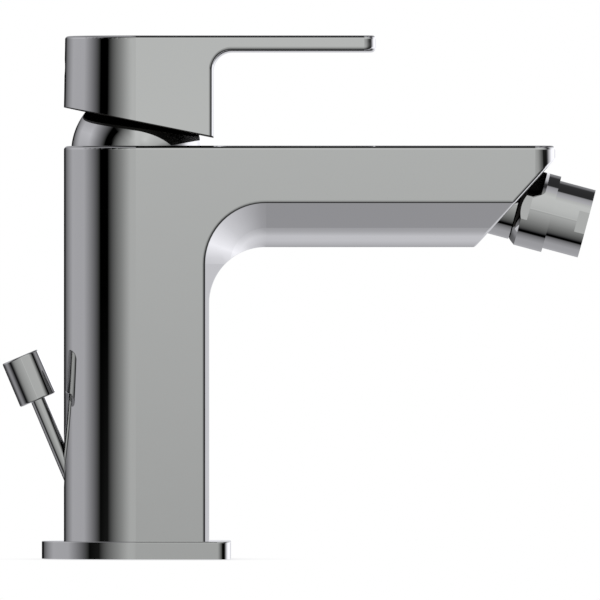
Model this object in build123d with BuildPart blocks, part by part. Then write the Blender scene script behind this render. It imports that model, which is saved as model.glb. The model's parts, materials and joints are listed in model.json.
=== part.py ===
from build123d import *
from math import acos, asin, cos, degrees, radians, sin, sqrt, tan
import os

os.makedirs("parts", exist_ok=True)

# Gaps, and how far a cut runs past the face that it opens
seat_gap = 0.1
run_gap = 0.15
overrun = 2.0

# Base plate, its gasket and the opening for hoses and stud
plate_half = 30.0
plate_front = 30.0
plate_corner = 4.3
plate_thickness = 5.6
plate_edge = 0.4
plate_opening = 17.0
locating_height = 3.0
gasket_inner = 21.5
gasket_outer = 26.5
gasket_thickness = 1.5

# Column: round at the back, flat at the front
column_half = 23.0
column_front = 23.1
column_wall = 3.5
body_top = 131.0
body_edge = 1.3

# Spout: its side faces end on an upper edge, and the keel below narrows at 45 degrees to the underside
spout_front = 132.9
spout_corner = 6.4
spout_depth = 32.1
spout_bend = 17.8
side_depth = 17.8
side_inset = 1.5
side_bend = 19.7
crease_edge = 1.4
keel_trim = 0.05
lip_height = 4.2
mouth_angle = 47.7
mouth_edge = 1.2
spout_wall = 3.0
lip_wall = 1.7
waterway_start = 23.5

# Ball joint at the mouth, measured along its axis from the centre of the ball
nozzle_dip = 15.0
pivot_inset = 1.7
pivot_drop = 21.55
swing_limit = 12.0
bulkhead_back = 18.0
bulkhead_thickness = 5.0
spot_face_depth = 0.5
spot_face_gap = 0.5
shank_radius = 6.9
shank_overhang = 1.0
collar_radius = 11.05
seat_sphere = 15.3
ring_sphere = 15.0
ball_radius = 8.0
neck_radius = 5.0
neck_play = 0.5
joint_bore = 3.6
liner_thickness = 1.05
liner_rear_angle = 30.0
liner_front_angle = 20.0
ring_radius = 12.4
ring_end = 0.6
ring_thread_start = 5.0
ring_flat_half = 11.8
ring_flat_end = 6.5
collar_seal_inner = 8.0
collar_seal_outer = 9.8
collar_seal_thickness = 1.2

# Aerator in its housing
housing_end = 12.25
housing_flat_half = 10.5
housing_flat_length = 3.35
housing_bore = 9.2
seal_inner = 5.9
seal_outer = 6.7
seal_mouth = 5.0
seal_end = 7.2
washer_seat = 7.8
washer_thickness = 0.7
washer_inner = 6.6
screen_thickness = 0.4
insert_bore = 7.4
insert_recess = 0.9
grid_thickness = 1.6
jet_radius = 0.55
jet_pitch = 1.9
jet_rings = 3
screen_hole_radius = 0.4
screen_pitch = 1.4
screen_rings = 4
insert_setback = 0.3

# Cartridge, its seat in the column and the nut that holds it down
dome_seat_depth = 4.0
nut_thread_length = 6.8
nut_thread_radius = 18.7
nut_flange_radius = 19.2
nut_flange_height = 3.0
nut_slot_width = 4.0
nut_slot_depth = 2.0
nut_slots = 4
chamber_radius = 18.5
chamber_drop = 12.0
housing_length = 29.2
seat_thickness = 7.0
cartridge_radius = 17.5
cartridge_wall = 2.0
cartridge_roof = 2.0
neck_wall = 1.65
neck_rise = 0.4
base_flange = 4.0
base_height = 8.5
disc_film = 0.1
fixed_disc_thickness = 4.0
moving_disc_thickness = 4.2
moving_disc_radius = 12.4
disc_inset = 0.2
port_forward = 4.5
port_side = 7.5
port_radius = 3.2
outlet_back = 6.5
outlet_radius = 3.6
outlet_window_width = 8.0
outlet_window_height = 3.2
mixing_length = 9.0
mixing_width = 14.0
mixing_corner = 3.0
mixing_depth = 2.2
mixing_back = 4.6
port_seal_inner = 3.6
port_seal_outer = 5.4
port_seal_thickness = 1.4
o_ring_radius = 1.05
o_ring_drop = 5.6
passage_width = 16.0
passage_height = 9.0
passage_rise = 12.0

# Turret, stem and the carrier that the stem pushes
pivot_sink = 2.1
stem_arm = 12.0
lift_angle = 25.0
turret_radius = 12.0
turret_flange_gap = 0.7
carrier_plate = 4.5
carrier_boss_half_width = 5.0
carrier_boss_half_length = 8.0
socket_play = 0.25
socket_floor = 0.5
stem_half = 4.0
stem_leg_radius = 2.4
stem_ball_radius = 3.0
stem_shoulder = 4.0
pin_radius = 1.5
pin_setback = 0.3

# Dome cover over the cartridge
dome_radius = 20.7
dome_wall = 1.2
dome_opening = 15.0

# Lever
lever_rise = 34.9
lever_half = 23.0
lever_draft = 1.0
lever_front = 24.5
lever_rear_gap = 12.3
lever_front_gap = 2.7
blade_tip = 76.05
blade_thickness = 5.0
blade_corner = 4.2
blade_bend = 6.0
lever_top_edge = 1.1
lever_soft_edge = 1.4
lever_cavity = 21.2
lever_roof = 5.4
boss_radius = 7.5
boss_length = 9.5
socket_depth = 9.3
screw_drop = 10.0
screw_radius = 2.4
plug_radius = 2.5
plug_thickness = 1.2
plug_setback = 0.2

# Inlets and the fixing stud's hole
inlet_side = 10.0
inlet_boss = 7.0
inlet_mouth = 45.0
inlet_thread = 4.5
inlet_thread_length = 12.0
inlet_bore = 3.8
inlet_cover = 3.0
port_depth = 5.5
stud_forward = 12.0
stud_boss = 8.0
stud_mouth = 16.0
stud_boss_length = 30.0
stud_thread = 3.4
stud_thread_length = 20.0

# Pop-up rod, its guide bush and knob, measured along the rod from where it enters the back of the column
rod_lean = 22.9
rod_foot_back = 12.63
rod_foot_height = 6.43
rod_radius = 2.35
rod_tail = 7.0
rod_chamfer = 0.5
rod_hole = 3.3
rod_boss = 5.5
bush_length = 11.4
knob_radius = 6.05
knob_length = 14.9
knob_gap = 21.05
knob_edge = 0.5
knob_socket = 9.5

# Heights that follow from the sizes above
side_edge = body_top - side_depth
underside = body_top - spout_depth
lip_bottom = body_top - lip_height
dome_seat = body_top - dome_seat_depth
cartridge_top = dome_seat - nut_thread_length
seat_top = cartridge_top - housing_length
hollow_top = seat_top - seat_thickness
lever_pivot = body_top - pivot_sink
fixed_disc_base = seat_top + base_height
moving_disc_base = fixed_disc_base + fixed_disc_thickness + disc_film
carrier_base = moving_disc_base + moving_disc_thickness
turret_base = carrier_base + carrier_plate + run_gap
turret_flange_top = cartridge_top - cartridge_roof - run_gap
turret_top = body_top + neck_rise
lever_top = body_top + lever_rise
blade_bottom = lever_top - blade_thickness
cavity_top = lever_top - lever_roof
boss_bottom = cavity_top - boss_length
screw_height = lever_top - screw_drop

# Radii and lengths that follow from the sizes above
side_front = column_front - side_inset
bend_x = side_front + side_bend
bend_height = side_edge - side_bend
keel_depth = side_edge - underside + keel_trim
keel_round = (column_half - keel_depth) / (sqrt(2) - 1)
keel_half = keel_round / sqrt(2)
keel_facet = column_half - keel_half
mouth_foot = spout_front - (lip_bottom - underside) / tan(radians(mouth_angle))
hollow_half = column_half - column_wall
cartridge_inner = cartridge_radius - cartridge_wall
neck_bore = turret_radius + run_gap
neck_outer = neck_bore + neck_wall
fixed_disc_radius = cartridge_inner - disc_inset
ball_shift = stem_arm * sin(radians(lift_angle))
carrier_rest = -ball_shift / 2
slot_front = ball_shift + stem_ball_radius + 2 * socket_play
slot_lean = (turret_top - lever_pivot) * tan(radians(lift_angle))
slot_back = stem_half / cos(radians(lift_angle)) + slot_lean + run_gap
liner_inner = ball_radius + run_gap
liner_outer = liner_inner + liner_thickness
socket_radius = liner_outer + run_gap
joint_tilt = degrees(acos(cos(radians(swing_limit)) ** 2))
lever_foot = lever_half + (lever_rear_gap - lever_front_gap) * tan(radians(lever_draft))
blade_foot = blade_tip + (lever_rise - blade_thickness / 2 - lever_front_gap) * tan(radians(lever_draft))
insert_start = washer_seat + washer_thickness
insert_end = housing_end - insert_setback
rod_end = (column_half - rod_foot_back) / sin(radians(rod_lean))
rod_boss_end = rod_end - rod_tail
rod_entry_height = rod_foot_height + rod_end * cos(radians(rod_lean))

# Planes and axes
nozzle_axis = Vector(cos(radians(nozzle_dip)), 0, -sin(radians(nozzle_dip)))
nozzle_across = Vector(sin(radians(nozzle_dip)), 0, cos(radians(nozzle_dip)))
nozzle_pivot = Vector(spout_front - pivot_inset, 0, body_top - pivot_drop)
nozzle_section = Plane(origin=nozzle_pivot, x_dir=nozzle_across, z_dir=(0, 1, 0))
nozzle_line = Axis(nozzle_pivot, nozzle_axis)
rod_direction = Vector(sin(radians(rod_lean)), 0, -cos(radians(rod_lean)))
rod_entry = Vector(-column_half, 0, rod_entry_height)


def nozzle_at(distance):
    # Plane square to the nozzle, this far from the centre of the ball
    return Plane(origin=nozzle_pivot + nozzle_axis * distance, x_dir=(0, 1, 0), z_dir=nozzle_axis)


def rod_at(distance):
    # Plane square to the pop-up rod, this far below where it enters the column
    return Plane(origin=rod_entry + rod_direction * distance, x_dir=(0, 1, 0), z_dir=rod_direction)


def spout_at(distance):
    # Plane across the spout at this X, level with the edge of its side faces
    return Plane(origin=(distance, 0, side_edge), x_dir=(0, 1, 0), z_dir=(1, 0, 0))


def round_back(half, front, corner=0):
    # Plan with a half circle at the back, straight sides and a flat front, whose corners may be round
    with BuildSketch(Plane.XY) as plan:
        Circle(half)
        Rectangle(half, 2 * half, align=(Align.MIN, Align.CENTER), mode=Mode.SUBTRACT)
        Rectangle(front, 2 * half, align=(Align.MIN, Align.CENTER))
        if corner:
            fillet(plan.vertices().group_by(Axis.X)[-1], radius=corner)
    return plan.sketch


def is_crease(edge):
    # Whether this edge of a side face is where the face meets the keel
    middle = edge.center()
    beside_keel = side_front - crease_edge < middle.X < mouth_foot
    return beside_keel and middle.Z < side_edge + crease_edge


plate_plan = round_back(plate_half, plate_front, plate_corner)
body_plan = round_back(column_half, spout_front, spout_corner)
lever_plan = round_back(lever_foot, blade_foot, blade_corner)

# Keel of the spout: two 45 degree facets joined by a round that touches both
with BuildSketch(Plane.XY) as keel_section:
    with BuildLine():
        Polyline((-keel_half, -keel_facet), (-column_half, 0), (column_half, 0), (keel_half, -keel_facet))
        ThreePointArc((keel_half, -keel_facet), (0, -keel_depth), (-keel_half, -keel_facet))
    make_face()

# Base plate: a thin plate under the column, with a rim that centres the column on it
with BuildPart() as base_plate:
    with BuildSketch(Plane.XY):
        add(plate_plan)
    extrude(amount=plate_thickness)
    fillet(base_plate.faces().sort_by(Axis.Z)[-1].edges(), radius=plate_edge)
    with BuildSketch(Plane.XY.offset(plate_thickness)):
        add(round_back(hollow_half - seat_gap, column_front - column_wall - seat_gap))
    extrude(amount=locating_height)
    with BuildSketch(Plane.XY):
        Circle(plate_opening)
    extrude(amount=plate_thickness + locating_height, mode=Mode.SUBTRACT)
    with BuildSketch(Plane.XY):
        Circle(gasket_outer + seat_gap)
        Circle(gasket_inner - seat_gap, mode=Mode.SUBTRACT)
    extrude(amount=gasket_thickness, mode=Mode.SUBTRACT)
base_plate.part.label = "base_plate"
export_step(base_plate.part, "parts/base_plate.step")

# Flat rubber gasket in the groove under the plate
with BuildPart() as base_gasket:
    with BuildSketch(Plane.XY):
        Circle(gasket_outer)
        Circle(gasket_inner, mode=Mode.SUBTRACT)
    extrude(amount=gasket_thickness)
base_gasket.part.label = "base_gasket"
export_step(base_gasket.part, "parts/base_gasket.step")

# Space inside the column, open at the bottom, around the bosses that stand in it
with BuildPart() as column_hollow:
    with BuildSketch(Plane.XY.offset(plate_thickness - overrun)):
        add(round_back(hollow_half, column_front - column_wall))
    extrude(amount=hollow_top - plate_thickness + overrun)
    with BuildSketch(Plane.XY.offset(inlet_mouth)):
        with Locations((0, inlet_side), (0, -inlet_side)):
            Circle(inlet_boss)
    extrude(amount=hollow_top - inlet_mouth, mode=Mode.SUBTRACT)
    with BuildSketch(Plane.XY.offset(stud_mouth)):
        with Locations((stud_forward, 0)):
            Circle(stud_boss)
    extrude(amount=stud_boss_length, mode=Mode.SUBTRACT)
    with BuildSketch(rod_at(0)):
        Circle(rod_boss)
    extrude(amount=rod_boss_end, mode=Mode.SUBTRACT)

# Space inside the spout: the waterway, the bulkhead that carries the ball joint, and the open mouth
with BuildPart() as spout_hollow:
    with BuildSketch(spout_at(waterway_start)):
        add(keel_section.sketch)
        Rectangle(2 * column_half, side_depth, align=(Align.CENTER, Align.MIN))
        offset(amount=-spout_wall)
    extrude(amount=spout_front - lip_wall - waterway_start)
    fillet(spout_hollow.edges().filter_by(Axis.Z).group_by(Axis.X)[-1], radius=spout_corner - spout_wall)
    with BuildSketch(nozzle_at(spot_face_depth - bulkhead_back)):
        Rectangle(4 * column_half, 4 * column_half)
    extrude(amount=-(bulkhead_thickness + spot_face_depth), mode=Mode.SUBTRACT)

# Body: column and spout in one casting
with BuildPart() as body:
    with BuildSketch(Plane.XZ):
        with BuildLine():
            bend = CenterArc((bend_x, bend_height), side_bend, 90, 90)
            Polyline(
                bend @ 1,
                (side_front, plate_thickness),
                (-column_half, plate_thickness),
                (-column_half, body_top),
                (bend_x, body_top),
                bend @ 0,
            )
        make_face()
    extrude(amount=column_half, both=True)
    with BuildSketch(spout_at(bend_x)):
        add(keel_section.sketch)
        Rectangle(2 * column_half, side_depth, align=(Align.CENTER, Align.MIN))
    extrude(amount=spout_front - bend_x)
    with BuildSketch(spout_at(bend_x)):
        add(keel_section.sketch)
    revolve(axis=Axis((bend_x, 0, bend_height), (0, -1, 0)), revolution_arc=90)
    with BuildSketch(Plane(origin=(side_front, 0, bend_height), x_dir=(0, 1, 0), z_dir=(0, 0, 1))):
        add(keel_section.sketch)
    extrude(amount=plate_thickness - bend_height)
    with BuildSketch(Plane.XZ) as silhouette:
        with BuildLine():
            Polyline(
                (-column_half, plate_thickness),
                (-column_half, body_top),
                (spout_front, body_top),
                (spout_front, lip_bottom),
                (mouth_foot, underside),
                (column_front, underside),
                (column_front, plate_thickness),
                close=True,
            )
        make_face()
        fillet(silhouette.vertices().sort_by_distance((column_front, underside))[0], radius=spout_bend)
    extrude(amount=column_half, both=True, mode=Mode.INTERSECT)
    with BuildSketch(Plane.XY.offset(plate_thickness)):
        add(body_plan)
    extrude(amount=body_top - plate_thickness, mode=Mode.INTERSECT)
    fillet(body.faces().sort_by(Axis.Z)[-1].edges(), radius=body_edge)
    side_faces = body.faces().filter_by(Axis.Y).group_by(SortBy.AREA)[-1]
    fillet(side_faces.edges().filter_by(is_crease), radius=crease_edge)
    mouth_face = body.faces().filter_by(GeomType.PLANE).sort_by_distance(nozzle_pivot)[0]
    fillet(mouth_face.edges(), radius=mouth_edge)
    add(column_hollow.part, mode=Mode.SUBTRACT)
    add(spout_hollow.part, mode=Mode.SUBTRACT)
    with BuildSketch(Plane.XY.offset(body_top)):
        Circle(dome_radius + seat_gap)
    extrude(amount=-dome_seat_depth, mode=Mode.SUBTRACT)
    with BuildSketch(Plane.XY.offset(dome_seat)):
        Circle(nut_thread_radius + seat_gap)
    extrude(amount=-(dome_seat_depth + nut_thread_length), mode=Mode.SUBTRACT)
    with BuildSketch(Plane.XY.offset(body_top - chamber_drop)):
        Circle(chamber_radius)
    extrude(amount=seat_top - body_top + chamber_drop, mode=Mode.SUBTRACT)
    with BuildSketch(Plane.YZ.offset(waterway_start + overrun)):
        with Locations((0, seat_top + passage_rise)):
            Rectangle(passage_width, passage_height, align=(Align.CENTER, Align.MIN))
    extrude(amount=-(waterway_start + overrun), mode=Mode.SUBTRACT)
    with BuildSketch(Plane.XY.offset(seat_top)):
        with Locations((port_forward, port_side), (port_forward, -port_side)):
            Circle(port_radius)
    extrude(amount=-port_depth, mode=Mode.SUBTRACT)
    with BuildSketch(Plane.XY.offset(inlet_mouth)):
        with Locations((0, inlet_side), (0, -inlet_side)):
            Circle(inlet_bore)
    extrude(amount=seat_top - inlet_cover - inlet_mouth, mode=Mode.SUBTRACT)
    with BuildSketch(Plane.XY.offset(inlet_mouth)):
        with Locations((0, inlet_side), (0, -inlet_side)):
            Circle(inlet_thread)
    extrude(amount=inlet_thread_length, mode=Mode.SUBTRACT)
    with BuildSketch(Plane.XY.offset(stud_mouth)):
        with Locations((stud_forward, 0)):
            Circle(stud_thread)
    extrude(amount=stud_thread_length, mode=Mode.SUBTRACT)
    with BuildSketch(rod_at(-rod_boss_end)):
        Circle(rod_hole)
    extrude(amount=rod_boss_end + rod_end, mode=Mode.SUBTRACT)
    with BuildSketch(nozzle_at(-bulkhead_back)):
        Circle(collar_radius + spot_face_gap)
    extrude(amount=bulkhead_back, mode=Mode.SUBTRACT)
    with BuildSketch(nozzle_at(-bulkhead_back)):
        Circle(shank_radius + seat_gap)
    extrude(amount=-(bulkhead_thickness + overrun), mode=Mode.SUBTRACT)
body.part.label = "body"
export_step(body.part, "parts/body.step")

# Dome cover: a thin ball-shaped skirt that hides the nut and stays under the lever as it lifts
dome_inner = dome_radius - dome_wall
with BuildPart() as dome_cover:
    with BuildSketch(Plane.XZ):
        with BuildLine():
            outside = CenterArc((0, lever_pivot), dome_radius, 0, degrees(acos(dome_opening / dome_radius)))
            inside = CenterArc((0, lever_pivot), dome_inner, 0, degrees(acos(dome_opening / dome_inner)))
            Line(outside @ 1, inside @ 1)
            Polyline(inside @ 0, (dome_inner, dome_seat), (dome_radius, dome_seat), outside @ 0)
        make_face()
    revolve(axis=Axis.Z)
dome_cover.part.label = "dome_cover"
export_step(dome_cover.part, "parts/dome_cover.step")

# Nut that screws into the column and holds the cartridge down
with BuildPart() as cartridge_nut:
    with BuildSketch(Plane.XY.offset(cartridge_top)):
        Circle(nut_thread_radius)
    extrude(amount=nut_thread_length)
    with BuildSketch(Plane.XY.offset(dome_seat)):
        Circle(nut_flange_radius)
    extrude(amount=nut_flange_height)
    with BuildSketch(Plane.XY.offset(cartridge_top)):
        Circle(neck_outer + seat_gap)
    extrude(amount=nut_thread_length + nut_flange_height, mode=Mode.SUBTRACT)
    with BuildSketch(Plane.XY.offset(dome_seat + nut_flange_height)):
        with PolarLocations(nut_flange_radius, nut_slots):
            Rectangle(nut_flange_radius, nut_slot_width)
    extrude(amount=-nut_slot_depth, mode=Mode.SUBTRACT)
cartridge_nut.part.label = "cartridge_nut"
export_step(cartridge_nut.part, "parts/cartridge_nut.step")

# Cartridge housing: a can with a neck for the turret, a groove for its O-ring and a window for mixed water
o_ring_height = cartridge_top - o_ring_drop
o_ring_centre = chamber_radius - o_ring_radius - seat_gap / 2
with BuildPart() as cartridge_housing:
    with BuildSketch(Plane.XY.offset(seat_top + base_flange)):
        Circle(cartridge_radius)
    extrude(amount=cartridge_top - seat_top - base_flange)
    with BuildSketch(Plane.XY.offset(cartridge_top)):
        Circle(neck_outer)
    extrude(amount=turret_top - cartridge_top)
    with BuildSketch(Plane.XY.offset(turret_top)):
        Circle(neck_bore)
    extrude(amount=cartridge_top - cartridge_roof - turret_top, mode=Mode.SUBTRACT)
    with BuildSketch(Plane.XY.offset(seat_top + base_flange)):
        Circle(cartridge_inner)
    extrude(amount=housing_length - base_flange - cartridge_roof, mode=Mode.SUBTRACT)
    with BuildSketch(Plane.XY.offset(o_ring_height - o_ring_radius - seat_gap)):
        Circle(cartridge_radius + overrun)
        Circle(o_ring_centre - o_ring_radius - seat_gap / 2, mode=Mode.SUBTRACT)
    extrude(amount=2 * (o_ring_radius + seat_gap), mode=Mode.SUBTRACT)
    with BuildSketch(Plane.YZ.offset(-cartridge_radius - overrun)):
        with Locations((0, seat_top + base_flange)):
            Rectangle(outlet_window_width, outlet_window_height, align=(Align.CENTER, Align.MIN))
    extrude(amount=cartridge_radius, mode=Mode.SUBTRACT)
cartridge_housing.part.label = "cartridge_housing"
export_step(cartridge_housing.part, "parts/cartridge_housing.step")

# O-ring between the cartridge housing and the column
with BuildPart() as housing_seal:
    with BuildSketch(Plane.XZ):
        with Locations((o_ring_centre, o_ring_height)):
            Circle(o_ring_radius)
    revolve(axis=Axis.Z)
housing_seal.part.label = "housing_seal"
export_step(housing_seal.part, "parts/housing_seal.step")

# Cartridge base: passes both inlets up to the discs and leads mixed water out at the back
port_places = [(port_forward, port_side), (port_forward, -port_side)]
with BuildPart() as cartridge_base:
    with BuildSketch(Plane.XY.offset(seat_top)):
        Circle(cartridge_radius)
    extrude(amount=base_flange)
    with BuildSketch(Plane.XY.offset(seat_top + base_flange)):
        Circle(cartridge_inner - seat_gap)
    extrude(amount=base_height - base_flange)
    with BuildSketch(Plane.XY.offset(seat_top)):
        with Locations(*port_places):
            Circle(port_radius)
    extrude(amount=base_height, mode=Mode.SUBTRACT)
    with BuildSketch(Plane.XY.offset(seat_top)):
        with Locations(*port_places):
            Circle(port_seal_outer + seat_gap)
            Circle(port_seal_inner - seat_gap, mode=Mode.SUBTRACT)
    extrude(amount=port_seal_thickness, mode=Mode.SUBTRACT)
    with BuildSketch(Plane.XY.offset(fixed_disc_base)):
        with Locations((-outlet_back, 0)):
            Circle(outlet_radius)
    extrude(amount=base_flange - base_height, mode=Mode.SUBTRACT)
    with BuildSketch(Plane.YZ.offset(-cartridge_radius)):
        with Locations((0, seat_top + base_flange)):
            Rectangle(2 * outlet_radius, outlet_window_height, align=(Align.CENTER, Align.MIN))
    extrude(amount=cartridge_radius - outlet_back, mode=Mode.SUBTRACT)
cartridge_base.part.label = "cartridge_base"
export_step(cartridge_base.part, "parts/cartridge_base.step")

# Two rubber rings under the cartridge base, one round each inlet
with BuildPart() as port_seals:
    with BuildSketch(Plane.XY.offset(seat_top)):
        with Locations(*port_places):
            Circle(port_seal_outer)
            Circle(port_seal_inner, mode=Mode.SUBTRACT)
    extrude(amount=port_seal_thickness)
port_seals.part.label = "port_seals"
export_step(port_seals.part, "parts/port_seals.step")

# Fixed ceramic disc, with an opening for each inlet and one for mixed water
with BuildPart() as fixed_disc:
    with BuildSketch(Plane.XY.offset(fixed_disc_base)):
        Circle(fixed_disc_radius)
        with Locations(*port_places):
            Circle(port_radius, mode=Mode.SUBTRACT)
        with Locations((-outlet_back, 0)):
            Circle(outlet_radius, mode=Mode.SUBTRACT)
    extrude(amount=fixed_disc_thickness)
fixed_disc.part.label = "fixed_disc"
export_step(fixed_disc.part, "parts/fixed_disc.step")

# Moving ceramic disc, with the mixing recess in its underside
with BuildPart() as moving_disc:
    with BuildSketch(Plane.XY.offset(moving_disc_base)):
        with Locations((carrier_rest, 0)):
            Circle(moving_disc_radius)
    extrude(amount=moving_disc_thickness)
    with BuildSketch(Plane.XY.offset(moving_disc_base)):
        with Locations((-mixing_back, 0)):
            RectangleRounded(mixing_length, mixing_width, mixing_corner)
    extrude(amount=mixing_depth, mode=Mode.SUBTRACT)
moving_disc.part.label = "moving_disc"
export_step(moving_disc.part, "parts/moving_disc.step")

# Disc carrier: a plate on the moving disc, with a boss that slides between the turret's cheeks
stem_ball_height = lever_pivot - stem_arm
with BuildPart() as disc_carrier:
    with BuildSketch(Plane.XY.offset(carrier_base)):
        with Locations((carrier_rest, 0)):
            Circle(moving_disc_radius)
    extrude(amount=carrier_plate)
    with BuildSketch(Plane.XY.offset(carrier_base + carrier_plate)):
        with Locations((carrier_rest, 0)):
            Rectangle(2 * carrier_boss_half_length, 2 * carrier_boss_half_width)
    extrude(amount=turret_flange_top - run_gap - carrier_base - carrier_plate)
    with BuildSketch(Plane.XY.offset(stem_ball_height - stem_ball_radius - socket_floor)):
        Circle(stem_ball_radius + socket_play)
    extrude(amount=stem_arm, mode=Mode.SUBTRACT)
disc_carrier.part.label = "disc_carrier"
export_step(disc_carrier.part, "parts/disc_carrier.step")

# Turret: turns in the cartridge's neck, carries the stem on a pin and the carrier between two cheeks
with BuildPart() as turret:
    with BuildSketch(Plane.XY.offset(turret_base)):
        Circle(cartridge_inner - turret_flange_gap)
    extrude(amount=turret_flange_top - turret_base)
    with BuildSketch(Plane.XY.offset(turret_flange_top)):
        Circle(turret_radius)
    extrude(amount=turret_top - turret_flange_top)
    with BuildSketch(Plane.XY.offset(turret_base)):
        Rectangle(2 * cartridge_inner, 2 * (carrier_boss_half_width + run_gap))
    extrude(amount=turret_flange_top - turret_base, mode=Mode.SUBTRACT)
    with BuildSketch(Plane.XY.offset(turret_base)):
        with Locations((-slot_back, 0)):
            Rectangle(slot_back + slot_front, 2 * (stem_half + run_gap), align=(Align.MIN, Align.CENTER))
    extrude(amount=turret_top - turret_base, mode=Mode.SUBTRACT)
    with BuildSketch(Plane.XZ):
        with Locations((0, lever_pivot)):
            Circle(pin_radius + seat_gap)
    extrude(amount=turret_radius, both=True, mode=Mode.SUBTRACT)
turret.part.label = "turret"
export_step(turret.part, "parts/turret.step")

# Steel pin that the stem tilts on
with BuildPart() as stem_pin:
    with BuildSketch(Plane.XZ):
        with Locations((0, lever_pivot)):
            Circle(pin_radius)
    extrude(amount=turret_radius - pin_setback, both=True)
stem_pin.part.label = "stem_pin"
export_step(stem_pin.part, "parts/stem_pin.step")

# Stem: square where the lever grips it, with a ball below that moves the carrier
stem_top = boss_bottom + socket_depth
with BuildPart() as stem:
    with BuildSketch(Plane.XY.offset(lever_pivot - stem_shoulder)):
        Rectangle(2 * stem_half, 2 * stem_half)
    extrude(amount=stem_top - lever_pivot + stem_shoulder)
    with BuildSketch(Plane.XY.offset(stem_ball_height)):
        Circle(stem_leg_radius)
    extrude(amount=stem_arm - stem_shoulder)
    with Locations((0, 0, stem_ball_height)):
        Sphere(stem_ball_radius)
    with BuildSketch(Plane.XZ):
        with Locations((0, lever_pivot)):
            Circle(pin_radius + run_gap)
    extrude(amount=turret_radius, both=True, mode=Mode.SUBTRACT)
stem.part.label = "stem"
export_step(stem.part, "parts/stem.step")

# Lever: a hollow head over the dome, with a flat blade out over the spout
lever_bottom = body_top + lever_front_gap
with BuildPart() as lever:
    with BuildSketch(Plane.XY.offset(lever_bottom)):
        add(lever_plan)
    extrude(amount=lever_top - lever_bottom, taper=lever_draft)
    with BuildSketch(Plane.XZ) as lever_side:
        with BuildLine():
            Polyline(
                (-lever_foot, body_top + lever_rear_gap),
                (-lever_foot, lever_top),
                (blade_foot, lever_top),
                (blade_foot, blade_bottom),
                (lever_front, blade_bottom),
                (lever_front, lever_bottom),
                close=True,
            )
        make_face()
        blade_corner_point = lever_side.vertices().sort_by_distance((lever_front, blade_bottom))[0]
        fillet(blade_corner_point, radius=blade_bend)
    extrude(amount=lever_foot, both=True, mode=Mode.INTERSECT)
    blade_underside = lever.faces().filter_by(Axis.Z).sort_by(Axis.Z)[-2]
    soft_edges = blade_underside.edges().sort_by(Axis.X)[1:]
    round_faces = lever.faces().filter_by(GeomType.CYLINDER)
    bend_face = round_faces.sort_by_distance((lever_front, 0, blade_bottom))[0]
    front_face = lever.faces().filter_by(Axis.X).sort_by_distance((lever_front, 0, lever_bottom))[0]
    for face in (bend_face, front_face):
        soft_edges += face.edges().filter_by(lambda edge: abs(edge.center().Y) > lever_half / 2)
    fillet(soft_edges, radius=lever_soft_edge)
    fillet(lever.faces().sort_by(Axis.Z)[-1].edges(), radius=lever_top_edge)
    with BuildSketch(Plane.XY.offset(boss_bottom)):
        Circle(lever_cavity)
    extrude(amount=body_top - boss_bottom, mode=Mode.SUBTRACT)
    with BuildSketch(Plane.XY.offset(boss_bottom)):
        Circle(lever_cavity)
        Circle(boss_radius, mode=Mode.SUBTRACT)
    extrude(amount=boss_length, mode=Mode.SUBTRACT)
    with BuildSketch(Plane.XY.offset(boss_bottom)):
        Rectangle(2 * (stem_half + seat_gap), 2 * (stem_half + seat_gap))
    extrude(amount=socket_depth + seat_gap, mode=Mode.SUBTRACT)
    with BuildSketch(Plane.YZ):
        with Locations((0, screw_height)):
            Circle(plug_radius + seat_gap)
    extrude(amount=-lever_half - overrun, mode=Mode.SUBTRACT)
lever.part.label = "lever"
export_step(lever.part, "parts/lever.step")

# Grub screw in the back of the boss, which locks the lever on the stem
with BuildPart() as set_screw:
    with BuildSketch(Plane.YZ.offset(-boss_radius)):
        with Locations((0, screw_height)):
            Circle(screw_radius)
            RegularPolygon(screw_radius / 2, 6, mode=Mode.SUBTRACT)
    extrude(amount=(boss_radius - stem_half) / 2)
    with BuildSketch(Plane.YZ.offset(-(boss_radius + stem_half) / 2)):
        with Locations((0, screw_height)):
            Circle(screw_radius)
    extrude(amount=(boss_radius - stem_half) / 2 - seat_gap)
set_screw.part.label = "set_screw"
export_step(set_screw.part, "parts/set_screw.step")

# Round plug in the back of the lever, over the screw
plug_draft = (screw_height - body_top - lever_rear_gap) * tan(radians(lever_draft))
plug_face = lever_half - plug_draft - plug_setback
with BuildPart() as indicator_plug:
    with BuildSketch(Plane.YZ.offset(-plug_face)):
        with Locations((0, screw_height)):
            Circle(plug_radius)
    extrude(amount=plug_thickness)
indicator_plug.part.label = "indicator_plug"
export_step(indicator_plug.part, "parts/indicator_plug.step")

# Pop-up rod, from the middle of its knob down into the column
knob_top = -knob_gap - knob_length
with BuildPart() as pull_rod:
    with BuildSketch(rod_at(-knob_gap - knob_socket)):
        Circle(rod_radius)
    extrude(amount=knob_gap + knob_socket + rod_end)
    chamfer(pull_rod.edges().sort_by(Axis.Z)[0], length=rod_chamfer)
pull_rod.part.label = "pull_rod"
export_step(pull_rod.part, "parts/pull_rod.step")

# Knob of the pop-up rod
with BuildPart() as rod_knob:
    with BuildSketch(rod_at(knob_top)):
        Circle(knob_radius)
    extrude(amount=knob_length)
    fillet(rod_knob.edges().filter_by(GeomType.CIRCLE), radius=knob_edge)
    with BuildSketch(rod_at(-knob_gap)):
        Circle(rod_radius + seat_gap)
    extrude(amount=-knob_socket, mode=Mode.SUBTRACT)
rod_knob.part.label = "rod_knob"
export_step(rod_knob.part, "parts/rod_knob.step")

# Guide bush for the rod, in the slanted boss inside the column
with BuildPart() as rod_guide:
    with BuildSketch(rod_at(rod_boss_end)):
        Circle(rod_hole - seat_gap)
        Circle(rod_radius + run_gap, mode=Mode.SUBTRACT)
    extrude(amount=-bush_length)
rod_guide.part.label = "rod_guide"
export_step(rod_guide.part, "parts/rod_guide.step")

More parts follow.
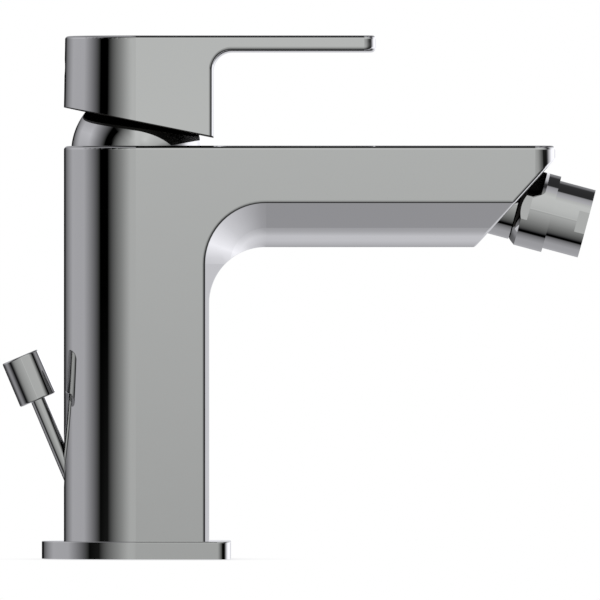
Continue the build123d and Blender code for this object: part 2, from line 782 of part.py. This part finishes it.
# Joint collar: screws into the bulkhead and carries the ball on a neck, with a bore right through
with BuildPart() as joint_collar:
    with BuildSketch(nozzle_section):
        with BuildLine():
            seat_start = degrees(acos(collar_radius / seat_sphere))
            seat_stop = degrees(acos(neck_radius / seat_sphere))
            ball_start = degrees(acos(neck_radius / ball_radius))
            ball_stop = degrees(acos(joint_bore / ball_radius))
            seat_arc = CenterArc((0, 0), seat_sphere, -seat_start, seat_start - seat_stop)
            ball_arc = CenterArc((0, 0), ball_radius, -ball_start, ball_start + ball_stop)
            Line(seat_arc @ 1, ball_arc @ 0)
            Polyline(
                ball_arc @ 1,
                (joint_bore, -bulkhead_back - bulkhead_thickness - shank_overhang),
                (shank_radius, -bulkhead_back - bulkhead_thickness - shank_overhang),
                (shank_radius, -bulkhead_back),
                (collar_radius, -bulkhead_back),
                seat_arc @ 0,
            )
        make_face()
    revolve(axis=nozzle_line)
    with BuildSketch(nozzle_at(-bulkhead_back)):
        Circle(collar_seal_outer + seat_gap)
        Circle(collar_seal_inner - seat_gap, mode=Mode.SUBTRACT)
    extrude(amount=collar_seal_thickness, mode=Mode.SUBTRACT)
joint_collar.part.label = "joint_collar"
export_step(joint_collar.part, "parts/joint_collar.step")

# Rubber ring between the collar and the bulkhead
with BuildPart() as collar_seal:
    with BuildSketch(nozzle_at(-bulkhead_back)):
        Circle(collar_seal_outer)
        Circle(collar_seal_inner, mode=Mode.SUBTRACT)
    extrude(amount=collar_seal_thickness)
collar_seal.part.label = "collar_seal"
export_step(collar_seal.part, "parts/collar_seal.step")

# Plastic liner between the ball and its socket
with BuildPart() as swivel_liner:
    with BuildSketch(nozzle_section):
        with BuildLine():
            liner_sweep = liner_rear_angle + liner_front_angle
            liner_out = CenterArc((0, 0), liner_outer, -liner_rear_angle, liner_sweep)
            liner_in = CenterArc((0, 0), liner_inner, -liner_rear_angle, liner_sweep)
            Line(liner_out @ 0, liner_in @ 0)
            Line(liner_out @ 1, liner_in @ 1)
        make_face()
    revolve(axis=nozzle_line)
swivel_liner.part.label = "swivel_liner"
export_step(swivel_liner.part, "parts/swivel_liner.step")

# Swivel ring: a union nut that wraps round the ball, with a flared mouth that clears the tilted neck
with BuildPart() as swivel_ring:
    with BuildSketch(nozzle_section):
        with BuildLine():
            lip_inner = 90 - joint_tilt - degrees(asin((neck_radius + neck_play) / socket_radius))
            lip_outer = 90 - joint_tilt - degrees(asin((neck_radius + neck_play) / ring_sphere))
            thread_foot = degrees(asin(ring_thread_start / socket_radius))
            ring_shoulder = degrees(acos(ring_radius / ring_sphere))
            socket_arc = CenterArc((0, 0), socket_radius, -thread_foot, thread_foot - lip_inner)
            outer_arc = CenterArc((0, 0), ring_sphere, -lip_outer, lip_outer - ring_shoulder)
            Line(socket_arc @ 1, outer_arc @ 0)
            Polyline(
                outer_arc @ 1,
                (ring_radius, ring_end),
                (collar_radius + seat_gap, ring_end),
                (collar_radius + seat_gap, -ring_thread_start),
                socket_arc @ 0,
            )
        make_face()
    revolve(axis=nozzle_line)
    with BuildSketch(nozzle_at(-ring_flat_end)):
        with Locations((ring_flat_half, 0), (-ring_flat_half - ring_radius, 0)):
            Rectangle(ring_radius, 2 * ring_radius, align=(Align.MIN, Align.CENTER))
    extrude(amount=-ring_sphere, mode=Mode.SUBTRACT)
swivel_ring.part.label = "swivel_ring"
export_step(swivel_ring.part, "parts/swivel_ring.step")

# Aerator housing: screws into the ring, closes the socket in front and holds the aerator
with BuildPart() as aerator_housing:
    with BuildSketch(nozzle_section):
        with BuildLine():
            housing_start = seat_gap - ring_thread_start
            rear_rim = degrees(asin(housing_start / socket_radius))
            front_rim = degrees(asin(seal_mouth / socket_radius))
            socket_wall = CenterArc((0, 0), socket_radius, rear_rim, front_rim - rear_rim)
            Polyline(
                socket_wall @ 1,
                (seal_outer + seat_gap, seal_mouth),
                (seal_outer + seat_gap, seal_end),
                (seal_inner, seal_end),
                (seal_inner, washer_seat),
                (housing_bore, washer_seat),
                (housing_bore, housing_end),
                (collar_radius, housing_end),
                (collar_radius, housing_start),
                socket_wall @ 0,
            )
        make_face()
    revolve(axis=nozzle_line)
    with BuildSketch(nozzle_at(housing_end)):
        with Locations((housing_flat_half, 0), (-housing_flat_half - collar_radius, 0)):
            Rectangle(collar_radius, 2 * collar_radius, align=(Align.MIN, Align.CENTER))
    extrude(amount=-housing_flat_length, mode=Mode.SUBTRACT)
aerator_housing.part.label = "aerator_housing"
export_step(aerator_housing.part, "parts/aerator_housing.step")

# Rubber seal that rubs on the front of the ball
with BuildPart() as ball_seal:
    with BuildSketch(nozzle_section):
        with BuildLine():
            seal_start = degrees(acos(seal_outer / liner_inner))
            seal_stop = degrees(acos(seal_inner / liner_inner))
            rubbing_face = CenterArc((0, 0), liner_inner, seal_start, seal_stop - seal_start)
            Polyline(rubbing_face @ 1, (seal_inner, seal_end), (seal_outer, seal_end), rubbing_face @ 0)
        make_face()
    revolve(axis=nozzle_line)
ball_seal.part.label = "ball_seal"
export_step(ball_seal.part, "parts/ball_seal.step")

# Flat washer behind the aerator insert
with BuildPart() as aerator_seal:
    with BuildSketch(nozzle_at(washer_seat)):
        Circle(housing_bore - seat_gap)
        Circle(washer_inner, mode=Mode.SUBTRACT)
    extrude(amount=washer_thickness)
aerator_seal.part.label = "aerator_seal"
export_step(aerator_seal.part, "parts/aerator_seal.step")

# Aerator insert: a plastic cup with a grid of small holes at its outlet
with BuildPart() as aerator_insert:
    with BuildSketch(nozzle_at(insert_start)):
        Circle(housing_bore - seat_gap)
    extrude(amount=insert_end - insert_start)
    with BuildSketch(nozzle_at(insert_start)):
        Circle(insert_bore)
    extrude(amount=insert_end - insert_recess - grid_thickness - insert_start, mode=Mode.SUBTRACT)
    with BuildSketch(nozzle_at(insert_end)):
        Circle(insert_bore)
    extrude(amount=-insert_recess, mode=Mode.SUBTRACT)
    with BuildSketch(nozzle_at(insert_end)):
        Circle(jet_radius)
        for ring in range(1, jet_rings + 1):
            with PolarLocations(jet_pitch * ring, 6 * ring):
                Circle(jet_radius)
    extrude(amount=insert_start - insert_end, mode=Mode.SUBTRACT)
aerator_insert.part.label = "aerator_insert"
export_step(aerator_insert.part, "parts/aerator_insert.step")

# Flow screen: a thin perforated disc in the washer, where water enters the aerator
with BuildPart() as flow_screen:
    with BuildSketch(nozzle_at(insert_start)):
        Circle(washer_inner - seat_gap)
        for ring in range(1, screen_rings + 1):
            with PolarLocations(screen_pitch * ring, 6 * ring):
                Circle(screen_hole_radius, mode=Mode.SUBTRACT)
    extrude(amount=-screen_thickness)
flow_screen.part.label = "flow_screen"
export_step(flow_screen.part, "parts/flow_screen.step")
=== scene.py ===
import json
import math

import bpy
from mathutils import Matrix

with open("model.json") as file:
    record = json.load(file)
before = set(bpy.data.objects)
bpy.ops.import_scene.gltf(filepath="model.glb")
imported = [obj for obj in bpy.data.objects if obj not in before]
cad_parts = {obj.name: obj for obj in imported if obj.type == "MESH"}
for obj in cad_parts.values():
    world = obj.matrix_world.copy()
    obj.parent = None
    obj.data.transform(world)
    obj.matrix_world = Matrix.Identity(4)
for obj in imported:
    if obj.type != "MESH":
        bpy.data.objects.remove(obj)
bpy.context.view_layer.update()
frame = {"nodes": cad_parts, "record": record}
nodes = frame["nodes"]
print("frame loaded:", len(nodes), "nodes")

white = (1, 1, 1, 1)


class Shader:
    # one output socket, with arithmetic that adds nodes to its tree
    edge = 0.00005  # half the width of a mask's soft edge, in metres

    def __init__(self, tree, socket=None):
        self.tree = tree
        self.socket = socket

    def node(self, kind, inputs=None, output=0, stops=(), **settings):
        made = self.tree.nodes.new("ShaderNode" + kind)
        for name, value in settings.items():
            setattr(made, name, value)
        for place, level in stops[1:-1]:
            made.color_ramp.elements.new(place)
        for index, (place, level) in enumerate(stops):
            made.color_ramp.elements[index].position = place
            made.color_ramp.elements[index].color = (level, level, level, 1)
        for key, value in (inputs or {}).items():
            if isinstance(value, Shader):
                self.tree.links.new(value.socket, made.inputs[key])
            else:
                made.inputs[key].default_value = value
        return Shader(self.tree, made.outputs[output])

    def math(self, operation, *values):
        return self.node("Math", dict(enumerate(values)), operation=operation)

    def __add__(self, other):
        return self.math("ADD", self, other)

    def __radd__(self, other):
        return self.math("ADD", other, self)

    def __sub__(self, other):
        return self.math("SUBTRACT", self, other)

    def __rsub__(self, other):
        return self.math("SUBTRACT", other, self)

    def __mul__(self, other):
        return self.math("MULTIPLY", self, other)

    def __rmul__(self, other):
        return self.math("MULTIPLY", other, self)

    def __truediv__(self, other):
        return self.math("DIVIDE", self, other)

    def __mod__(self, other):
        return self.math("FLOORED_MODULO", self, other)

    def parts(self):
        return [self.node("SeparateXYZ", {0: self}, output=axis) for axis in "XYZ"]

    def size(self):
        return self.math("ABSOLUTE", self)

    def across(self, other):
        return self.math("SQRT", self * self + other * other)

    def smooth(self, low, high):
        return self.node("MapRange", {0: self, 1: low, 2: high}, interpolation_type="SMOOTHSTEP")

    def below(self, limit):
        return self.smooth(limit + self.edge, limit - self.edge)

    def above(self, limit):
        return 1 - self.below(limit)

    def between(self, low, high):
        return self.math("MINIMUM", self.math("MAXIMUM", self, low), high)

    def blend(self, other, share):
        return self + (other - self) * share

    def tint(self, low, high):
        return self.node("Mix", {0: self, 6: low, 7: high}, 2, data_type="RGBA")

    def levels(self, span, stops):
        # straight lines through the stops, kept in a ramp at half strength
        halved = [(place / span, level / 2) for place, level in stops]
        return 2 * self.node("ValToRGB", {0: self / span}, stops=halved)

    def into(self, socket):
        self.tree.links.new(self.socket, socket)


# camera: square on to the side, from far away through a long lens
view = {"lens": 1500, "sensor": 36, "farthest": 40, "place": (0.0520, -7.94, 0.0821)}
camera = bpy.data.objects.new("camera", bpy.data.cameras.new("camera"))
camera.data.lens = view["lens"]
camera.data.sensor_width = view["sensor"]
camera.data.clip_end = view["farthest"]
camera.location = view["place"]
camera.rotation_euler = (math.radians(90), 0, 0)
scene = bpy.context.scene
scene.collection.objects.link(camera)
scene.camera = camera
scene.view_settings.view_transform = "Standard"
print("camera made")

# studio: what the polished metal mirrors. Each sector, in degrees round the camera's line of sight from
# the right, has its light by degrees away from the camera: cards in front, dark gaps, and panels behind.
# Flat sides mirror the card in front or the one behind, both a little lighter above the camera's level.
# The ceiling is pale but for dark strips, which the upper edges and the nozzle mirror. Spans, edges and
# strips are in degrees
studio = {
    "card": 0.715,
    "cardRise": 0.15,
    "riseSpan": (-0.6, 1),
    "cardEdge": (1.5, 5),
    "rearCardEdge": (175, 178),
    "ceiling": 0.45,
    "ceilingEdge": (48, 60),
    "zenithEdge": (86.5, 88),
    "strips": (90, 75),
    "stripEdge": (1.2, 4),
    "tintEdge": (62, 66),
    "sectors": {
        0: [(0, 0.72), (7, 0.67), (14, 0.54), (34, 0.2), (41, 0.13), (46, 0), (67, 0), (74, 0.13),
            (81, 0.56), (98, 1.4), (107, 1.8), (135, 1.8), (155, 1)],
        23: [(0, 0.71), (57, 0.73), (70, 0.4), (78, 0.05), (90, 0.03), (97, 0.5), (108, 1.4), (120, 1.75)],
        55: [(0, 0.71), (17, 0.77), (27, 1), (50, 0.9), (72, 0.55), (84, 0.05), (115, 0.05), (150, 0.3)],
        75: [(0, 0.71), (5, 0.82), (17, 0.87), (50, 0.93), (72, 0.68), (84, 0.5), (88, 0.04), (132, 0.05),
             (145, 0.3)],
        90: [(0, 0.72), (5, 0.84), (12, 0.88), (38, 0.92), (54, 0.03), (61, 0), (108, 0), (125, 0.12),
             (150, 0.35)],
        110: [(0, 0.73), (22, 0.77), (42, 0.35), (55, 0.1), (70, 0), (110, 0.06), (150, 0.4)],
        132: [(0, 0.73), (7, 0.82), (32, 0.4), (50, 0), (62, 0), (80, 0.27), (97, 0.5), (150, 0.5)],
        158: [(0, 0.72), (8, 0.8), (27, 0.42), (47, 0), (60, 0), (77, 0.36), (97, 0.88), (127, 0.8),
              (150, 0.3), (156, 0.12), (160, 0)],
        180: [(0, 0.71), (9, 0.7), (22, 0.41), (46, 0), (59, 0), (92, 0.65), (122, 0.65), (148, 0.22),
              (154, 0.12), (157, 0)],
        203: [(0, 0.69), (38, 0.5), (51, 0.36), (66, 0.03), (74, 0), (80, 0.08), (97, 0.37), (106, 0.43),
              (116, 0.37), (130, 0.12), (150, 0.05)],
        255: [(0, 0.7), (20, 0.52), (62, 0.12), (70, 0), (77, 0), (80, 0.21), (92, 0.41), (107, 0.57),
              (155, 0.58), (180, 0.4)],
        270: [(0, 0.7), (16, 0.66), (37, 0.48), (59, 0.13), (66, 0.01), (78, 0.01), (90, 0.52), (112, 0.96),
              (128, 0.92), (150, 0.66), (165, 0.45)],
        315: [(0, 0.71), (20, 0.5), (42, 0.08), (74, 0.02), (84, 1), (107, 1.3), (140, 1)],
        340: [(0, 0.71), (20, 0.5), (45, 0.1), (74, 0.02), (84, 1.3), (92, 1.75), (140, 1.5)],
    },
    "frontTint": (0.98, 1, 0.985, 1),
    "rearTint": (0.97, 0.97, 1.02, 1),
}
world = bpy.data.worlds.new("studio")
scene.world = world
world.use_nodes = True
tree = Shader(world.node_tree)
sideways, away, upward = tree.node("TexCoord", output="Generated").parts()
perRadian = math.degrees(1)
turned = tree.math("ARCCOSINE", 0 - away) * perRadian  # away from the camera
sector = tree.math("ARCTAN2", upward, sideways) * perRadian % 360  # round the line of sight
raised = tree.math("ARCSINE", upward) * perRadian  # above the horizon
starts = [*studio["sectors"], 360]
light = turned.levels(180, studio["sectors"][0])
for start, end in zip(starts, starts[1:]):
    share = ((sector - start) / (end - start)).between(0, 1)
    light = light.blend(turned.levels(180, studio["sectors"][end % 360]), share)
card = studio["card"] + studio["cardRise"] * raised.between(*studio["riseSpan"])
light = card.blend(light, turned.smooth(*studio["cardEdge"]))
light = light.blend(card, turned.smooth(*studio["rearCardEdge"]))
pale = raised.smooth(*studio["ceilingEdge"])
for strip in studio["strips"]:
    pale = pale * (sector - strip).size().smooth(*studio["stripEdge"])
light = light.blend(studio["ceiling"], pale)
light = light.blend(studio["ceiling"], raised.smooth(*studio["zenithEdge"]))
tint = turned.smooth(*studio["tintEdge"]).tint(studio["frontTint"], studio["rearTint"])
light = tree.node("VectorMath", {0: tint, 1: light}, operation="MULTIPLY")
light = tree.node("LightPath", output="Is Camera Ray").tint(light, white)
tree.node("Background", {0: light}).into(world.node_tree.nodes["World Output"].inputs[0])
print("studio made")

# polished chrome: faint waves and smudges, and where a casting is hollow, duller metal with painted shade
# in a near-black colour
chrome = {
    "colour": (0.55, 0.55, 0.55, 1),
    "paintedShade": (0.04, 0.038, 0.035, 1),
    "roughness": 0.022,
    "smudge": 0.03,
    "smudgeScale": 60,
    "smudgeSpan": (0.5, 0.75),
    "smudgeShare": 0.6,
    "speckScale": 2500,
    "speckSpan": (0.55, 0.8),
    "dullRoughness": 0.5,
    "waveScale": 90,
    "waveDepth": 1.5e-6,
}
# the other finishes; grain and lines are per metre, depth is in metres. Their colour varies with the grain
# and with wider clouds
clouds = {"scale": 180, "share": 0.5, "span": (0.3, 0.7)}
finishes = {
    "brass": {"colours": ((0.5, 0.34, 0.12, 1), (0.66, 0.48, 0.2, 1)),
              "metallic": 1, "roughness": (0.2, 0.38), "lines": 2600, "depth": 4e-6},
    "steel": {"colours": ((0.42, 0.42, 0.43, 1), (0.55, 0.55, 0.56, 1)),
              "metallic": 1, "roughness": (0.18, 0.34), "lines": 3400, "depth": 3e-6},
    "black_rubber": {"colours": ((0.012, 0.012, 0.013, 1), (0.03, 0.03, 0.031, 1)),
                     "roughness": (0.5, 0.75), "grain": 2200, "depth": 1e-5},
    "white_plastic": {"colours": ((0.7, 0.69, 0.65, 1), (0.8, 0.79, 0.75, 1)),
                      "roughness": (0.3, 0.45), "grain": 1400, "depth": 5e-6},
    "grey_plastic": {"colours": ((0.24, 0.245, 0.25, 1), (0.31, 0.315, 0.32, 1)),
                     "roughness": (0.32, 0.5), "grain": 1400, "depth": 6e-6},
    "ceramic": {"colours": ((0.72, 0.71, 0.68, 1), (0.82, 0.81, 0.78, 1)),
                "roughness": (0.1, 0.2), "grain": 3200, "depth": 1.5e-6},
    "plug_plastic": {"colours": ((0.02, 0.06, 0.42, 1), (0.5, 0.02, 0.02, 1)), "halves": True,
                     "roughness": (0.22, 0.34), "grain": 1800, "depth": 4e-6},
}
# where the chrome castings are hollow, in metres, which get painted shade; rim is the slanted lower edge of
# the lever's head, where a thin dark line is a painted reflection of its rounded edge
hollows = {
    "column": {"radius": 0.0197, "top": 0.085},
    "spout": {"radius": 0.0201, "front": 0.1313, "flank": -0.0943, "top": 0.12805, "bottom": 0.1017},
    "head": {"radius": 0.02125, "roof": 0.16055},
    "rim": {"height": 0.138634, "slope": 0.2014, "depth": 0.0003},
}


def newLook(name):
    # an empty material: its shader's tree, its surface's sockets and its place in the part
    material = bpy.data.materials.new(name)
    material.use_nodes = True
    shade = Shader(material.node_tree)
    surface = material.node_tree.nodes["Principled BSDF"].inputs
    return material, shade, surface, shade.node("TexCoord", output="Object")


def bodyPaintedShadeMask(x, y, z):
    # where painted shade goes: the column's hollow below and the spout's waterway above, both open to view
    # from one end
    column, spout = hollows["column"], hollows["spout"]
    width = x.math("MINIMUM", x, 0).across(y)
    below = width.below(column["radius"]) * x.below(column["radius"]) * z.below(column["top"])
    above = width.below(spout["radius"]) * x.below(spout["front"]) * (y.size() - z).below(spout["flank"])
    return x.math("MAXIMUM", below, above * z.below(spout["top"]) * z.above(spout["bottom"]))


def leverPaintedShadeMask(x, y, z):
    # where painted shade goes: the round hollow of the head up to its roof, and the rim round its mouth,
    # whose thin dark line is a painted reflection
    head, rim = hollows["head"], hollows["rim"]
    shadedHollow = x.across(y).below(head["radius"]) * z.below(head["roof"])
    return x.math("MAXIMUM", shadedHollow, (z + rim["slope"] * x).below(rim["height"] + rim["depth"]))


def chromeLook(name, inside=None):
    material, shade, surface, place = newLook(name)
    surface["Metallic"].default_value = 1
    wide = {0: place, "Scale": chrome["smudgeScale"], "Detail": 5, "Roughness": 0.6}
    smudges = shade.node("TexNoise", wide).smooth(*chrome["smudgeSpan"])
    fine = {0: place, "Scale": chrome["speckScale"], "Detail": 2}
    specks = shade.node("TexNoise", fine).smooth(*chrome["speckSpan"])
    roughness = specks.blend(smudges, chrome["smudgeShare"]) * chrome["smudge"] + chrome["roughness"]
    if inside:
        # painted shade: the hollows and the lever's rim get a near-black colour as well as a duller finish
        shadedHollow = inside(*place.parts())
        roughness = roughness.blend(chrome["dullRoughness"], shadedHollow)
        shadedHollow.tint(chrome["colour"], chrome["paintedShade"]).into(surface["Base Color"])
    else:
        surface["Base Color"].default_value = chrome["colour"]
    roughness.into(surface["Roughness"])
    waves = shade.node("TexNoise", {0: place, "Scale": chrome["waveScale"], "Detail": 1})
    bump = shade.node("Bump", {"Strength": 1, "Distance": chrome["waveDepth"], "Height": waves})
    bump.into(surface["Normal"])
    return material


def plainLook(name, finish):
    material, shade, surface, place = newLook(name)
    surface["Metallic"].default_value = finish.get("metallic", 0)
    if "lines" in finish:  # turned lines, the same all the way round the part's upright axis
        x, y, z = place.parts()
        rings = shade.node("CombineXYZ", {"X": x.across(y), "Z": z})
        grain = shade.node("TexNoise", {0: rings, "Scale": finish["lines"], "Detail": 3})
    else:
        grain = shade.node("TexNoise", {0: place, "Scale": finish["grain"], "Detail": 4})
    if "halves" in finish:  # blue for cold, red for hot
        share = place.parts()[1].above(0)
    else:
        cloud = shade.node("TexNoise", {0: place, "Scale": clouds["scale"], "Detail": 3})
        share = grain.blend(cloud, clouds["share"]).smooth(*clouds["span"])
    share.tint(*finish["colours"]).into(surface["Base Color"])
    least, most = finish["roughness"]
    (least + (most - least) * grain.smooth(*clouds["span"])).into(surface["Roughness"])
    bump = shade.node("Bump", {"Strength": 1, "Distance": finish["depth"], "Height": grain})
    bump.into(surface["Normal"])
    return material


looks = {slot: plainLook(slot + "_look", finish) for slot, finish in finishes.items()}
looks["chrome"] = chromeLook("chrome_look")
special = {"body": chromeLook("body_look", bodyPaintedShadeMask), "lever": chromeLook("lever_look", leverPaintedShadeMask)}
slotOf = {piece["node"]: piece["material_slot"] for piece in frame["record"]["subparts"]}
for name, node in nodes.items():
    node.material_slots[0].material = special.get(name, looks[slotOf[name]])
print("finishes made")

# floor: a pale sheet just under the part, with a painted soft contact shadow
sheet = {
    "half": 0.6,
    "middle": (0.05, 0, -0.0002),
    "paintedShadow": (0.72, 0.72, 0.74, 1),
    "reach": 0.03,
    "grey": (0.8, 0.8, 0.8, 1),
}
low, high = -sheet["half"], sheet["half"]
mesh = bpy.data.meshes.new("floor")
mesh.from_pydata([(low, low, 0), (high, low, 0), (high, high, 0), (low, high, 0)], [], [(0, 1, 2, 3)])
floor = bpy.data.objects.new("floor", mesh)
floor.location = sheet["middle"]
scene.collection.objects.link(floor)
paper = bpy.data.materials.new("paper")
paper.use_nodes = True
shade = Shader(paper.node_tree)
# painted shadow: for the camera the sheet glows white, darker by ambient occlusion near the part
clear = shade.node("AmbientOcclusion", {"Distance": sheet["reach"]}, output="AO")
seen = shade.node("Emission", {0: clear.tint(sheet["paintedShadow"], white)})
matte = shade.node("BsdfDiffuse", {0: sheet["grey"]})
both = shade.node("MixShader", {0: shade.node("LightPath", output="Is Camera Ray"), 1: matte, 2: seen})
both.into(paper.node_tree.nodes["Material Output"].inputs[0])
mesh.materials.append(paper)
floor.visible_glossy = False
print("floor made")
